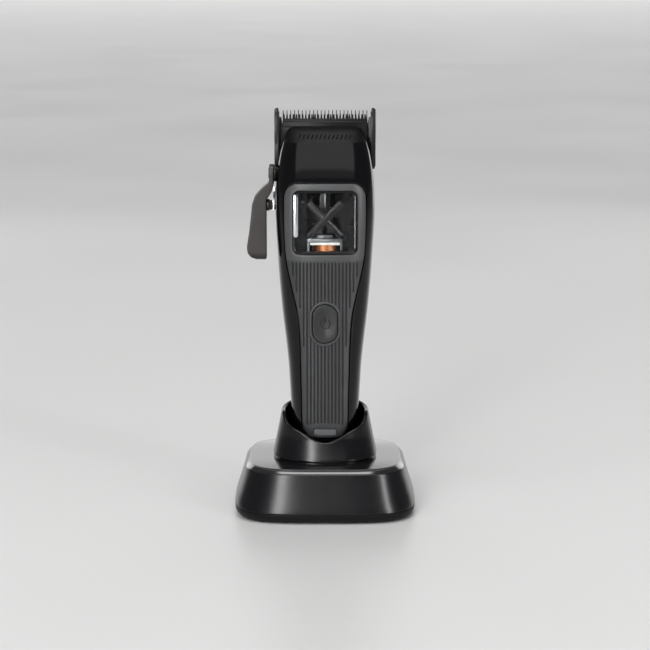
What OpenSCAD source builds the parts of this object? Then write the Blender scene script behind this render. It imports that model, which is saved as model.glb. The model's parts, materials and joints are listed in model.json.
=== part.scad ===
// Cordless hair clipper with a magnetic swing-arm motor, standing in its charging dock.
// Millimetres, +Z up, -Y is the front (button side). The origin is on the surface that
// the dock stands on, under the middle of the dock.

/* [Dock] */
// Width of the dock where it is widest
dock_w = 84; // [80:1:92]
// Depth of the dock where it is widest
dock_d = 76; // [72:1:84]
// Height of the dock's top plate above the surface
deck_z = 24.4; // [24:0.1:25]
// Wall of the dock shell
dock_wall = 2.2; // [1.8:0.1:2.6]
// Wall of the collar that the clipper stands in
collar_wall = 1.8; // [1.4:0.1:2]

/* [Handle] */
// Height of the clipper's flat end when it stands in the dock
end_z = 32; // [32:0.5:34]
// Wall of the two housing halves
wall = 2.6; // [2.2:0.1:2.8]
// Depth of the recess that the grip panel lies in
recess = 1.5; // [1.2:0.1:1.6]
// Distance between the grip ribs
rib_pitch = 1.62; // [1.5:0.01:2]

/* [Blades] */
// Width of the comb blade
comb_w = 46.4; // [44:0.1:48]
// Gaps between the comb blade's guard teeth
comb_gaps = 24; // [20:1:28]
// Teeth on the moving cutter
cutter_teeth = 27; // [23:1:29]
// How far the cutter moves to each side of the middle
cutter_stroke = 1.4; // [1:0.1:1.5]

/* [Taper lever] */
// How far the lever turns
taper_angle = 40; // [30:5:45]
// How far the comb blade rises when the lever has turned
taper_travel = 1.2; // [1:0.1:1.3]

/* [Hidden] */
$fn = 48;
around = 40; // points around a section of the handle
inner_around = 24; // points around a section of its hollow
dock_around = 48; // points around a section of the dock
gap = 0.15; // between pieces that sit in one another
run = 0.05; // radial clearance of a pin that turns or slides

// Sections of the handle: height, half width, depth to the front, depth to the rear.
BODY = [
    [32, 8, 10.5, 10], [33, 9.7, 12.6, 11.6], [34.6, 11.3, 13.9, 12.7], [37, 12.8, 14.8, 13.6],
    [40, 14.1, 15.5, 14.3], [45, 15.5, 16.1, 14.8], [56, 16.2, 16.4, 15.2],
    [68, 16.9, 16.6, 15.5], [80, 18.1, 16.9, 15.9], [90, 19.3, 17.2, 16.3],
    [101, 20.4, 17.7, 17], [112, 21.3, 18.3, 17.8], [122, 21.9, 18.8, 18.4],
    [132, 22.5, 19, 18.7], [141, 22.8, 18.9, 18.2], [148, 22.7, 18.5, 16.2],
    [154, 22.3, 17.7, 13.4], [159, 21.8, 16.4, 11.2], [166, 20.7, 14, 9], [171.6, 19.3, 12, 8],
    [175.6, 17.6, 8.4, 7], [177.4, 16, 6, 5.6], [178.1, 13.8, 3.6, 3.6]
];
body_n = 3; // roundness of a section: 2 is an ellipse, more is squarer
shell_top = 175.4; // the head's hollow ends here
rear_top = 158; // the rear half ends here, under the comb blade

// Half outline of the grip panel, from its top down: half width, height.
PANEL = [
    [11.6, 153.7], [14.3, 153.3], [16.5, 152], [17.9, 149.8], [18.5, 147], [18.6, 137],
    [18.2, 125], [17.5, 118], [15.7, 109], [13.9, 101], [12.6, 95], [11.8, 88.5], [11.3, 81],
    [11, 68], [10.7, 56], [10.5, 44], [10, 40], [8.4, 37], [6, 35.4]
];
window = [29.4, 29.1]; // clear opening in the panel
window_z = 135.85;
button_size = [12, 18.4];
button_z = 89.3;
button_face = 17.4; // depth of the button's outer rim in front of the axis
button_travel = 0.6;
light_size = [10.8, 3.4];
light_z = 37.9;

// Screws that hold the housing halves together: x, z.
HOUSING_SCREWS = [[-9, 40.2], [9, 40.2], [-16.6, 130], [16.6, 130]];

// Magnetic motor: everything swings about or stands around the pivot.
pivot_z = 136.7;
tip_z = 169; // where the arm drives the cutter
arm_y = [-8, -4.6]; // the arm lies between these depths
frame_half = 13.3;
frame_front = -12.4;
coil_y = -5.2;
coil_z = [114.2, 124.8];
winding_r = 6.2;

// Blade set. The cutter rides on the front of the comb blade, at comb_face.
comb_face = 3.05;
comb_z = [158.2, 178.4, 185.2, 186.2]; // lower edge, tooth roots, tips, end guards
guard_w = 2.3;
cutter_half = 19.3;
blade_holes = [8, 161]; // half spacing and height of the comb's two screws
yoke_front = -3.6;
spring_x = 5.5;
spring_z = 163.4;
spring_wire = 0.4;

// Taper lever.
shaft_r = 2.5;
bush_r = 3.4;
hub_y = -3;
hub_z = 157.1;
cam_throw = taper_travel / sin(taper_angle);
detent_r = 14.7; // the detent's distance from the lever's axis

// Dock.
plate_half = [34.7, 31.7];
dock_n = 4;
collar_n = 2.4;
DOCK_SCREWS = [for (x = [-28, 28], y = [-24, 24]) [x, y]];
inlet_z = 11.5;
pin_x = 3; // half spacing of the two contacts
pin_proud = 0.8; // how far they stand out of the cup's floor

// ---------------------------------------------------------------- shared shapes

function spow(v, n) = sign(v) * pow(abs(v), 2 / n);

// One closed section: half width w, depth f to the front and r to the rear.
function section(z, w, f, r, n, count) = [
    for (i = [0:count - 1]) let(a = 360 * i / count, s = sin(a))
        [w * spow(cos(a), n), (s < 0 ? f : r) * spow(s, n), z]
];

function oval(half, n, count) = [
    for (i = [0:count - 1]) let(a = 360 * i / count)
        [half[0] * spow(cos(a), n), half[1] * spow(sin(a), n)]
];

function round_rect(size, r, steps = 6) = [
    for (c = [0:3], i = [0:steps])
        let(a = 90 * c + 90 * i / steps,
            sx = c == 0 || c == 3 ? 1 : -1,
            sy = c < 2 ? 1 : -1)
        [sx * (size[0] / 2 - r) + r * cos(a), sy * (size[1] / 2 - r) + r * sin(a)]
];

// A solid through a stack of sections that all have the same number of points.
module loft(rings) {
    n = len(rings[0]);
    m = len(rings);
    points = [for (ring = rings) each ring];
    sides = [
        for (j = [0:m - 2], i = [0:n - 1])
            let(a = j * n + i, b = j * n + (i + 1) % n, c = b + n, d = a + n)
            each [[a, d, c], [a, c, b]]
    ];
    bottom = [[for (i = [0:n - 1]) i]];
    top = [[for (i = [n - 1:-1:0]) (m - 1) * n + i]];
    polyhedron(points, concat(bottom, sides, top));
}

// The handle's outer form, made smaller all round by inset, between two heights.
module body_form(inset = 0, low = 0, high = 999, count = around) {
    rows = [for (s = BODY) if (s[0] > low + 0.5 && s[0] < high - 0.5) s];
    ends = [body_row(max(low, BODY[0][0])), body_row(min(high, BODY[len(BODY) - 1][0]))];
    loft([for (s = concat([ends[0]], rows, [ends[1]]))
        section(s[0], s[1] - inset, s[2] - inset, s[3] - inset, body_n, count)]);
}

// The handle's section at any height, between the rows of BODY.
function body_row(z) = [
    z,
    for (k = [1:3]) lookup(z, [for (s = BODY) [s[0], s[k]]])
];

module box(low, high) {
    translate(low)
        cube(high - low);
}

// A 2D outline in x and z, made solid between two depths.
module facing(y0, y1) {
    translate([0, y1, 0])
        rotate([90, 0, 0])
            linear_extrude(height = y1 - y0)
                children();
}

// A 2D outline in y and z, made solid between two values of x.
module sideways(x0, x1) {
    translate([x0, 0, 0])
        rotate([90, 0, 90])
            linear_extrude(height = x1 - x0)
                children();
}

module rod_y(x, z, r, y0, y1) {
    translate([x, y1, z])
        rotate([90, 0, 0])
            cylinder(r = r, h = y1 - y0);
}

module rod_x(y, z, r, x0, x1) {
    translate([x0, y, z])
        rotate([0, 90, 0])
            cylinder(r = r, h = x1 - x0);
}

module rod_z(x, y, r, z0, z1) {
    translate([x, y, z0])
        cylinder(r = r, h = z1 - z0);
}

// A slot with round ends, standing along z, solid between two depths.
module pill(size, z, y0, y1) {
    facing(y0, y1)
        translate([0, z])
            polygon(round_rect(size, size[0] / 2 - 0.01, 10));
}

// A helical spring of round wire on the z axis.
module coil(r, wire, turns, height) {
    per_turn = 9;
    steps = turns * per_turn;
    sides = 4;
    loft([for (k = [0:steps])
        let(a = 360 * k / per_turn, z = height * k / steps)
        [for (i = [0:sides - 1])
            let(b = -360 * i / sides, q = r + wire * cos(b))
            [q * cos(a), q * sin(a), z + wire * sin(b)]]]);
}

panel_points = concat(PANEL, [for (i = [len(PANEL) - 1:-1:0]) [-PANEL[i][0], PANEL[i][1]]]);

module panel_outline(grow = 0) {
    middle = 94;
    polygon([for (p = panel_points)
        [p[0] + sign(p[0]) * grow, p[1] + (p[1] > middle ? grow : -grow)]]);
}

module window_outline(grow = 0) {
    translate([0, window_z])
        polygon(round_rect(window + 2 * [grow, grow], 3 + grow));
}

// ---------------------------------------------------------------- dock

// Half width and depth of the dock's outer wall at a height.
dock_profile = [
    [0.6, -2], [1.4, -1], [2.8, -0.2], [4.8, 0], [7, -0.5], [12, -2.1], [18, -3.9],
    [22.2, -5], [23.5, -5.6], [24.4, -6.9]
];

module dock_form(inset, low, high) {
    count = inset > 0 ? inner_around : dock_around;
    rows = [for (p = dock_profile) if (p[0] > low + 0.05 && p[0] < high - 0.05) p];
    ends = [[low, lookup(low, dock_profile)], [high, lookup(high, dock_profile)]];
    loft([for (p = concat([ends[0]], rows, [ends[1]]))
        let(w = dock_w / 2 + p[1] - inset, d = dock_d / 2 + p[1] - inset)
        section(p[0], w, d, d, dock_n, count)]);
}

module dock_shell() {
    boss_r = 3.4;
    rib_r = 0.8;
    deck_under = deck_z - 3.4;
    color("#141416")
        difference() {
            union() {
                difference() {
                    dock_form(0, 4.8, deck_z);
                    dock_form(dock_wall, 4.79, deck_under);
                }
                intersection() {
                    dock_form(1, 3, deck_z);
                    for (p = DOCK_SCREWS) {
                        rod_z(p[0], p[1], boss_r, 3.05, deck_under + 0.5);
                        for (s = [[6, 0], [0, 6]])
                            hull($fn = 16) {
                                rod_z(p[0], p[1], rib_r, 8, deck_under + 0.5);
                                rod_z(p[0] + sign(p[0]) * s[0], p[1] + sign(p[1]) * s[1],
                                      rib_r, 14, deck_under + 0.5);
                            }
                    }
                }
            }
            translate([0, 0, deck_z - 1.6])
                linear_extrude(height = 3)
                    polygon(oval(plate_half + [gap, gap], dock_n, dock_around));
            translate([0, 0, 12])
                linear_extrude(height = 20)
                    polygon(oval([22, 18], 3, inner_around));
            for (p = DOCK_SCREWS)
                rod_z(p[0], p[1], 1.4, 2, 15);
            facing(dock_d / 2 - 8, dock_d / 2 + 1)
                translate([0, inlet_z])
                    polygon(round_rect([9.7, 4], 1.95));
        }
}

module dock_top_plate() {
    color("#1b1b1d")
        translate([0, 0, deck_z - 1.6])
            linear_extrude(height = 1.6)
                difference() {
                    polygon(oval(plate_half, dock_n, dock_around));
                    square([31, 27], center = true);
                }
}

// Height of the collar's lip at an angle: high behind, low in front, with a soft notch.
function lip(a) =
    let(ahead = -sin(a), x = 21.3 * spow(cos(a), collar_n))
    46 + 2.5 * max(0, -ahead) - 6.2 * smooth((ahead - 0.1) / 0.75)
    - (ahead > 0 ? 5.9 * smooth(1 - abs(x) / 16.3) : 0);

function smooth(t) = let(u = max(0, min(1, t))) u * u * (3 - 2 * u);

// The collar's outer half width and depth at a height.
function collar_half(z) =
    let(t = (z - 26) / 20, foot = 0.8 * smooth((26 - z) / 1.4), flare = max(0, (35 - z) / 10.6),
        bulge = 0.5 * t * (t - 1) - foot)
    [24.2 - 4 * t + bulge, 19.8 - 1.9 * t + bulge + 2.6 * pow(flare, 1.2)];

function collar_ring(share, inset, low) = [
    for (i = [0:dock_around - 1])
        let(a = 360 * i / dock_around,
            z = low + share * (lip(a) - low),
            h = collar_half(z))
        [(h[0] - inset) * spow(cos(a), collar_n), (h[1] - inset) * spow(sin(a), collar_n), z]
];

module dock_collar() {
    low = deck_z + 0.05;
    outer = [for (s = [0, 0.03, 0.08, 0.25, 0.5, 0.75, 0.96]) collar_ring(s, 0, low)];
    lip_mid = collar_ring(1, collar_wall / 2, low);
    inner = [for (s = [0.96, 0.6, 0.3, 0]) collar_ring(s, collar_wall, low)];
    rings = concat(outer, [lip_mid], inner);
    n = dock_around;
    m = len(rings);
    points = [for (ring = rings) each ring];
    faces = [
        for (j = [0:m - 1], i = [0:n - 1])
            let(a = j * n + i, b = j * n + (i + 1) % n,
                c = ((j + 1) % m) * n + (i + 1) % n, d = ((j + 1) % m) * n + i)
            each [[a, d, c], [a, c, b]]
    ];
    color("#161618")
        polyhedron(points, faces);
}

module contact_block() {
    color("#0d0d0e")
        difference() {
            union() {
                box([-15, -13, 9.7], [15, 13, 26.5]);
                translate([0, 0, 26.4])
                    linear_extrude(height = end_z - 26.4)
                        polygon(oval([20.4, 16.6], collar_n, dock_around));
            }
            for (x = [-pin_x, pin_x]) {
                rod_z(x, 0, 1 + run, 20, 40);
                rod_z(x, 0, 1.6, 14, 28);
            }
        }
}

module charge_pins() {
    collar_z = [26.4, 27.6];
    color("#c9a24a")
        for (x = [-pin_x, pin_x]) {
            rod_z(x, 0, 1, collar_z[0], end_z + pin_proud);
            rod_z(x, 0, 1.45, collar_z[0], collar_z[1]);
        }
}

module pin_springs() {
    color("#b8bcc2")
        for (x = [-pin_x, pin_x])
            translate([x, 0, 14.3])
                coil(1.1, 0.2, 6, 11.8);
}

module dock_board() {
    color("#1f5c36")
        box([-17, -15, 8], [17, 33, 9.6]);
}

module dock_inlet() {
    size = [9, 3.3];
    color("#b8bcc2")
        facing(27.5, 35.4)
            translate([0, inlet_z])
                difference() {
                    polygon(round_rect(size, 1.6));
                    polygon(round_rect(size - [0.7, 0.7], 1.3));
                }
    color("#0d0d0e") {
        box([-3.9, 27.5, inlet_z - 1.25], [3.9, 28.4, inlet_z + 1.25]);
        box([-3.1, 28.3, inlet_z - 0.3], [3.1, 34, inlet_z + 0.3]);
    }
}

module dock_ballast() {
    color("#8d9196")
        translate([0, 0, 3.05])
            linear_extrude(height = 2.4)
                polygon(oval([29, 25], dock_n, inner_around));
}

foot_r = 5;
foot_top = 1.55;
head_top = 2.3;

module dock_bottom_cover() {
    floor_z = 3;
    color("#0c0c0d")
        difference() {
            dock_form(0, 0.6, 4.75);
            dock_form(5, floor_z, 5);
            for (p = DOCK_SCREWS) {
                rod_z(p[0], p[1], foot_r + 0.1, 0, foot_top + 0.05);
                rod_z(p[0], p[1], 2.7, 0, head_top + 0.05);
                rod_z(p[0], p[1], 1.5, 0, 6);
            }
        }
}

module dock_screws() {
    color("#9a9ea4")
        for (p = DOCK_SCREWS) {
            rod_z(p[0], p[1], 1.3, head_top - 0.1, 14);
            rod_z(p[0], p[1], 2.6, foot_top + 0.1, head_top);
        }
}

module dock_feet() {
    color("#202022")
        for (p = DOCK_SCREWS)
            rod_z(p[0], p[1], foot_r, 0, foot_top);
}

// ---------------------------------------------------------------- housing

module housing_bosses(y0, y1, r) {
    for (s = HOUSING_SCREWS)
        rod_y(s[0], s[1], r, y0, y1);
}

module front_shell() {
    color("#08080a")
        difference() {
            union() {
                intersection() {
                    difference() {
                        body_form();
                        body_form(wall, end_z + wall, shell_top, inner_around);
                    }
                    box([-30, -30, 0], [30, 0, 200]);
                }
                intersection() {
                    body_form(1, count = inner_around);
                    union() {
                        housing_bosses(-20, 0, 2.8);
                        for (x = [-1, 1], z = [112, 116, 156, 46])
                            hull($fn = 16) {
                                rod_y(x * 8, z, 0.5, -20, frame_front - 0.1);
                                rod_y(x * 13, z, 0.5, -20, frame_front - 0.1);
                            }
                    }
                }
            }
            difference() {
                facing(-30, 0)
                    panel_outline(gap);
                body_form(recess);
            }
            facing(-30, -5)
                window_outline();
            pill(button_size, button_z, -30, -5);
            facing(-30, -5)
                translate([0, light_z])
                    polygon(round_rect(light_size, 1));
            housing_bosses(-12, 1, 1.15);
            bush_hole();
            end_opening();
        }
}

module bush_hole() {
    rod_x(hub_y, hub_z, bush_r + 0.05, -30, -15);
}

// The opening at the handle's end that the end cap closes.
module end_opening() {
    translate([0, 0, end_z - 1])
        linear_extrude(height = wall + 2)
            polygon(oval([6.4, 8.2], 3, around));
}

module rear_shell() {
    color("#08080a")
        difference() {
            union() {
                intersection() {
                    difference() {
                        body_form(0, 0, rear_top);
                        body_form(wall, end_z + wall, rear_top + 1, inner_around);
                    }
                    box([-30, 0.02, 0], [30, 30, 200]);
                }
                intersection() {
                    body_form(1, count = inner_around);
                    union() {
                        housing_bosses(0.02, 20, 3.2);
                        for (x = [-1, 1], z = [41, 60, 80, 110])
                            hull($fn = 16) {
                                rod_y(x * 13, z, 0.6, 11, 20);
                                rod_y(x * 16, z, 0.6, 6, 20);
                            }
                    }
                }
            }
            housing_bosses(-1, 9, 1.4);
            housing_bosses(7.8, 30, 2.3);
            bush_hole();
            end_opening();
        }
}

module grip_panel() {
    rib_r = 0.42;
    color("#2c2d2f")
        difference() {
            union() {
                intersection() {
                    difference() {
                        body_form();
                        body_form(recess - 0.05);
                    }
                    facing(-30, -1)
                        panel_outline();
                }
                intersection() {
                    difference() {
                        body_form(-0.3);
                        body_form(0.6);
                    }
                    facing(-30, -1)
                        panel_outline(-0.9);
                    for (k = [-10:10])
                        hull($fn = 14) {
                            rod_y(k * rib_pitch, rib_low(k), rib_r, -30, -5);
                            rod_y(k * rib_pitch, 117.8, rib_r, -30, -5);
                        }
                }
                intersection() {
                    body_form(-0.35);
                    pill(button_size + [2.6, 2.6], button_z, -30, -16.2);
                }
            }
            facing(-30, -5)
                window_outline();
            pill(button_size, button_z, -30, -5);
            facing(-30, -5)
                translate([0, light_z])
                    polygon(round_rect(light_size, 1));
        }
}

// The ribs end on an arc above the status light.
function rib_low(k) = 42.6 - 1.6 * pow(k / 6, 2);

module window_bezel() {
    color("#1d1e20")
        facing(-16.1, -13.6)
            difference() {
                window_outline(-gap);
                window_outline(-1.3);
            }
}

module window_lens() {
    color("#c8d2d8", 0.3)
        facing(-15.9, -14.8)
            window_outline(-1.4);
}

module power_button() {
    dish_r = 40;
    color("#242527")
        difference() {
            union() {
                pill(button_size - [0.5, 0.5], button_z, -button_face, -button_face + 2.4);
                rod_y(0, button_z, 2, -15.1, -12.95);
            }
            translate([0, -button_face - dish_r + 0.5, button_z])
                sphere(r = dish_r, $fn = 180);
        }
}

module button_gasket() {
    color("#3a3b3d")
        difference() {
            pill(button_size + [1.6, 1.6], button_z, -13.95, -13.35);
            rod_y(0, button_z, 2.3, -20, -10);
        }
}

module switch_plunger() {
    color("#d8d4c8")
        rod_y(0, button_z, 1.5, -12.95, -11.6);
}

module tact_switch() {
    color("#b8bcc2")
        difference() {
            box([-3, -12.3, button_z - 3], [3, -9.05, button_z + 3]);
            rod_y(0, button_z, 1.6, -20, -10.6);
        }
}

module status_light() {
    color("#8f9498")
        facing(-15.5, -9.2)
            translate([0, light_z])
                polygon(round_rect(light_size - [0.3, 0.3], 0.85));
}

// ---------------------------------------------------------------- electronics

module main_board() {
    color("#1f5c36")
        box([-9.5, -9, 44], [9.5, -7.4, 107]);
}

module board_chips() {
    color("#17181a") {
        box([-3, -9.9, 66], [3, -9, 72]);
        box([-8, -9.8, 54], [-4, -9, 58]);
        box([4, -9.8, 54], [8, -9, 58]);
        box([-7.5, -10.6, 97], [-3, -9, 104]);
        box([3, -10.6, 97], [7.5, -9, 104]);
    }
}

battery_y = 3;

module battery_cell() {
    color("#2a5ea8")
        rod_z(0, battery_y, 9, 44, 109);
}

module battery_cradle() {
    color("#151617")
        difference() {
            rod_z(0, battery_y, 10.2, 46, 107);
            rod_z(0, battery_y, 9.2, 40, 120);
            box([-20, battery_y + 2, 40], [20, 30, 120]);
            box([-6, -20, 52], [6, battery_y, 100]);
        }
}

module battery_tabs() {
    color("#c4c8cc")
        for (z = [43.5, 109.1])
            box([-4, battery_y - 4, z], [4, battery_y + 4, z + 0.4]);
}

pad_h = 0.7;

module end_cap() {
    color("#0e0e10")
        difference() {
            translate([0, 0, end_z])
                linear_extrude(height = wall)
                    polygon(oval([6.25, 8.05], 3, around));
            for (x = [-pin_x, pin_x])
                rod_z(x, 0, 1.75, end_z - 1, end_z + pin_proud + pad_h);
        }
}

module contact_pads() {
    color("#c9a24a")
        for (x = [-pin_x, pin_x])
            rod_z(x, 0, 1.7, end_z + pin_proud, end_z + pin_proud + pad_h - 0.05);
}

module housing_screws() {
    color("#9a9ea4")
        for (s = HOUSING_SCREWS) {
            rod_y(s[0], s[1], 1.1, -8, 8.6);
            difference() {
                rod_y(s[0], s[1], 2.1, 7.85, 9.5);
                box([s[0] - 1.5, 8.9, s[1] - 0.3], [s[0] + 1.5, 10, s[1] + 0.3]);
            }
        }
}

// ---------------------------------------------------------------- motor

module motor_frame() {
    groove = 0.5;
    bottom = 109.6;
    top = 153.5;
    color("#1a1b1d")
        difference() {
            box([-frame_half, frame_front, bottom], [frame_half, 7, top]);
            box([-8.3, frame_front - 1, 112], [8.3, -0.5, 150.5]);
            box([-8.3, -0.6, 140.6], [8.3, 8, 150.6]);
            box([-3.6, frame_front - 1, 150], [3.6, 8, top + 1]);
            rod_z(0, coil_y, winding_r + 0.6, 112, coil_z[1] + 1);
            for (x = [-11.9, -10.6, 10.6, 11.9])
                box([x - groove / 2, frame_front - 1, 114], [x + groove / 2, frame_front + groove, 149]);
            rod_y(0, pivot_z, 1.5, -20, 5);
            for (x = [-9.6, 9.6], z = [114, 151.8])
                rod_y(x, z, 0.85, -20, -6);
        }
}

// The crossed brace carries the front end of the pivot pin.
module motor_brace() {
    arm_w = 2.6;
    arm_len = 21.4;
    rear = frame_front - 0.05;
    front = rear - 1.3;
    color("#242527")
        difference() {
            union() {
                for (a = [-44, 44])
                    translate([0, front, pivot_z])
                        rotate([0, a, 0])
                            difference() {
                                translate([-arm_w / 2, 0, -arm_len / 2])
                                    cube([arm_w, 1.3, arm_len]);
                                translate([-0.35, -0.5, 2 - arm_len / 2])
                                    cube([0.7, 0.9, arm_len - 4]);
                            }
                rod_y(0, pivot_z, 2.7, front - 0.6, rear);
                for (s = [-1, 1])
                    box([min(s * 6.2, s * 11), front, 143.6], [max(s * 6.2, s * 11), rear, 145.2]);
            }
            rod_y(0, pivot_z, 1.5, front - 0.1, -10);
        }
}

module motor_screws() {
    color("#aeb2b8")
        for (x = [-9.6, 9.6], z = [114, 151.8]) {
            rod_y(x, z, 0.8, frame_front - 0.1, -7);
            rod_y(x, z, 1.5, frame_front - 1.1, frame_front - 0.05);
        }
}

module coil_winding() {
    color("#b4683a")
        translate([0, coil_y, coil_z[0]])
            rotate_extrude()
                translate([3.4, 0])
                    square([winding_r - 3.4, coil_z[1] - coil_z[0]]);
}

module coil_bobbin() {
    top = coil_z[1] + 1.3;
    color("#dfe0e2")
        difference() {
            union() {
                rod_z(0, coil_y, 3.3, 112.4, top);
                rod_z(0, coil_y, winding_r + 0.4, 112.4, coil_z[0] - 0.1);
                box([-6.8, coil_y - 6.6, coil_z[1] + 0.1], [6.8, coil_y + 4.2, top]);
            }
            rod_z(0, coil_y, 2.55, 100, 130);
        }
}

module stator_core() {
    color("#7c8086")
        union() {
            rod_z(0, coil_y, 2.5, 112.05, 128.1);
            box([-3.4, -10.4, 128], [3.4, -1, 129.4]);
        }
}

module stator_yoke() {
    plate = [coil_z[1] + 1.4, coil_z[1] + 3.1];
    half = 8.1;
    leg = 1.1;
    color("#c3c6ca")
        difference() {
            box([-half, -11.9, 114], [half, -0.6, plate[1]]);
            box([leg - half, -13, 113], [half - leg, 0, plate[0]]);
            rod_z(0, coil_y, 2.55, 120, 130);
            for (s = [-1, 1])
                box([s * 7.6 - 1, -9.6, 112], [s * 7.6 + 1, -3, 121.5]);
        }
}

module pivot_pin() {
    color("#c4c8cc")
        rod_y(0, pivot_z, 1.48, -13.8, 4.9);
}

module drive_arm() {
    hub_r = 3.6;
    color("#c9c9cb")
        difference() {
            union() {
                rod_y(0, pivot_z, hub_r, -11.8, -0.9);
                facing(arm_y[0], arm_y[1])
                    polygon([
                        [-2.6, pivot_z], [-1.7, 160], [-2.4, tip_z + 1.6], [2.4, tip_z + 1.6],
                        [1.7, 160], [2.6, pivot_z]
                    ]);
                box([-5.6, -10, 133.1], [5.6, -1.4, 134.4]);
            }
            rod_y(0, pivot_z, 1.48 + run, -20, 10);
            rod_y(0, tip_z, 1.3, -20, 0);
        }
}

module arm_magnets() {
    color("#9ba0a6") {
        box([-5.4, -9.6, 130], [-1.1, -1.8, 133.05]);
        box([1.1, -9.6, 130], [5.4, -1.8, 133.05]);
    }
}

module drive_tip() {
    color("#d4d7db")
        union() {
            rod_y(0, tip_z, 1.28, -8.4, -0.6);
            rod_y(0, tip_z, 1.9, -8.9, -8.05);
        }
}

// ---------------------------------------------------------------- blades

module cutter_yoke() {
    slot_half = 1.36;
    color("#dcdcd8")
        difference() {
            union() {
                box([-6.5, yoke_front, 166], [6.5, 0.25, 172.6]);
                for (s = [-1, 1])
                    box([s * 4.5 - 1, 0.2, 168.4], [s * 4.5 + 1, 1.9, 170.4]);
            }
            box([-slot_half, -5, 164], [slot_half, 0.3, tip_z + 1.6]);
        }
}

module cutter_blade() {
    half = cutter_half;
    pitch = 2 * half / cutter_teeth;
    root = 181.4;
    tip = 183.4;
    teeth = [
        for (k = [0:cutter_teeth - 1]) let(x = -half + k * pitch)
            each [[x + 0.15 * pitch, tip], [x + 0.55 * pitch, tip],
                  [x + 0.7 * pitch, root], [x + 0.99 * pitch, root]]
    ];
    color("#4a4d50")
        difference() {
            intersection() {
                facing(0.3, 3)
                    polygon(concat([[-half, 166.2], [-half, root]], teeth, [[half, root], [half, 166.2]]));
                sideways(-25, 25)
                    polygon([[3, 160], [3, 190], [2.4, 190], [2.3, tip], [1.6, 180.3], [1.1, 179.9],
                             [1, 178], [0.4, 177.6], [0.3, 172.8], [1.3, 172.7], [1.3, 160]]);
            }
            for (s = [-1, 1])
                box([s * 4.5 - 1.1, 0, 168.3], [s * 4.5 + 1.1, 2, 170.5]);
            box([-12, 1, 164], [12, 2.2, 165]);
        }
}

module comb_blade() {
    half = comb_w / 2;
    inner = half - guard_w;
    pitch = 2 * inner / comb_gaps;
    root_w = 0.42 * pitch;
    end_root = 182;
    end_gap = inner - 0.5 * pitch;
    teeth = [
        for (k = [1:comb_gaps - 1]) let(x = -inner + k * pitch)
            each [[x - root_w / 2, comb_z[1]], [x - 0.16, comb_z[2]],
                  [x + 0.16, comb_z[2]], [x + root_w / 2, comb_z[1]]]
    ];
    color("#3c3f42")
        difference() {
            union() {
                intersection() {
                    facing(comb_face, 7.2)
                        polygon(concat(
                            [[-half + 0.5, comb_z[0]], [-half, comb_z[0] + 1.5], [-half, comb_z[3] - 0.8],
                             [-half + 0.7, comb_z[3]], [-inner - 0.5, comb_z[3]], [-inner, end_root],
                             [-end_gap, end_root]],
                            teeth,
                            [[end_gap, end_root], [inner, end_root], [inner + 0.5, comb_z[3]],
                             [half - 0.7, comb_z[3]], [half, comb_z[3] - 0.8],
                             [half, comb_z[0] + 1.5], [half - 0.5, comb_z[0]]]));
                    sideways(-30, 30)
                        polygon([[comb_face, 150], [comb_face, 190], [4, 187], [7, 176],
                                 [7.2, 172], [7.2, 150]]);
                }
                for (s = [-1, 1])
                    intersection() {
                        box([min(s * inner, s * half), 0.6, comb_z[0] + 1.5],
                            [max(s * inner, s * half), comb_face + 0.1, comb_z[3] - 1.6]);
                        sideways(-30, 30)
                            polygon([[0.6, 150], [0.6, 180], [2.4, 184.6], [4, 184.6], [4, 150]]);
                    }
            }
            for (s = [-1, 1]) {
                rod_y(s * blade_holes[0], blade_holes[1], 1.6, 0, 10);
                box([s * 23 - 1, 0, 169.9], [s * 23 + 1, 1, 170.3]);
            }
        }
}

module blade_carrier() {
    top = 164.6;
    color("#a9adb2")
        difference() {
            union() {
                box([-13.6, 0.5, 154.6], [13.6, 3, top]);
                box([-17.6, -4.2, 154.2], [-14.2, 3, 160.8]);
                box([-14.3, 0.5, 154.2], [-13.5, 3, 160.8]);
            }
            box([-18, -3.7, hub_z - 1.7], [-14, 0.8, hub_z + 1.7]);
            for (s = [-1, 1]) {
                rod_y(s * blade_holes[0], blade_holes[1], 1.45, 0, 5);
                rod_y(s * spring_x, spring_z, spring_wire + 0.05, 0, 2.6);
            }
        }
}

module blade_screws() {
    color("#b4b8bd")
        for (s = [-1, 1]) {
            rod_y(s * blade_holes[0], blade_holes[1], 1.4, 0.6, 7.4);
            difference() {
                rod_y(s * blade_holes[0], blade_holes[1], 2.7, 7.25, 8.7);
                box([s * blade_holes[0] - 2, 8.1, blade_holes[1] - 0.35],
                    [s * blade_holes[0] + 2, 9, blade_holes[1] + 0.35]);
            }
        }
}

// Two wire springs on the carrier press the yoke, and so the cutter, on to the comb blade.
module tension_springs() {
    bend = 1;
    front = yoke_front - spring_wire - 0.1;
    color("#c4c8cc")
        for (s = [-1, 1])
            union() {
                rod_y(s * spring_x, spring_z, spring_wire, front + bend, 2.5);
                translate([s * spring_x, front + bend, spring_z + bend])
                    rotate([0, -90, 180])
                        rotate([0, 0, 90])
                            rotate_extrude(angle = 90)
                                translate([bend, 0])
                                    circle(r = spring_wire);
                rod_z(s * spring_x, front, spring_wire, spring_z + bend, 171.6);
            }
}

// ---------------------------------------------------------------- taper lever

// The lever's outline from the front: from the hub, out, and down to the thumb pad.
LEVER = [
    [-23.35, 161.2], [-25.6, 161.2], [-25.6, 153.2], [-28.9, 150.6], [-32, 147], [-33.4, 142.8],
    [-34.1, 135.8], [-34.9, 129.3], [-35.9, 123.4], [-35.5, 120.4], [-33.9, 118.3],
    [-31.1, 117.2], [-27.2, 117.2], [-26.8, 117.8], [-26.8, 145.4], [-26, 146], [-24.3, 148.9],
    [-23.35, 152.4]
];

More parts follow.
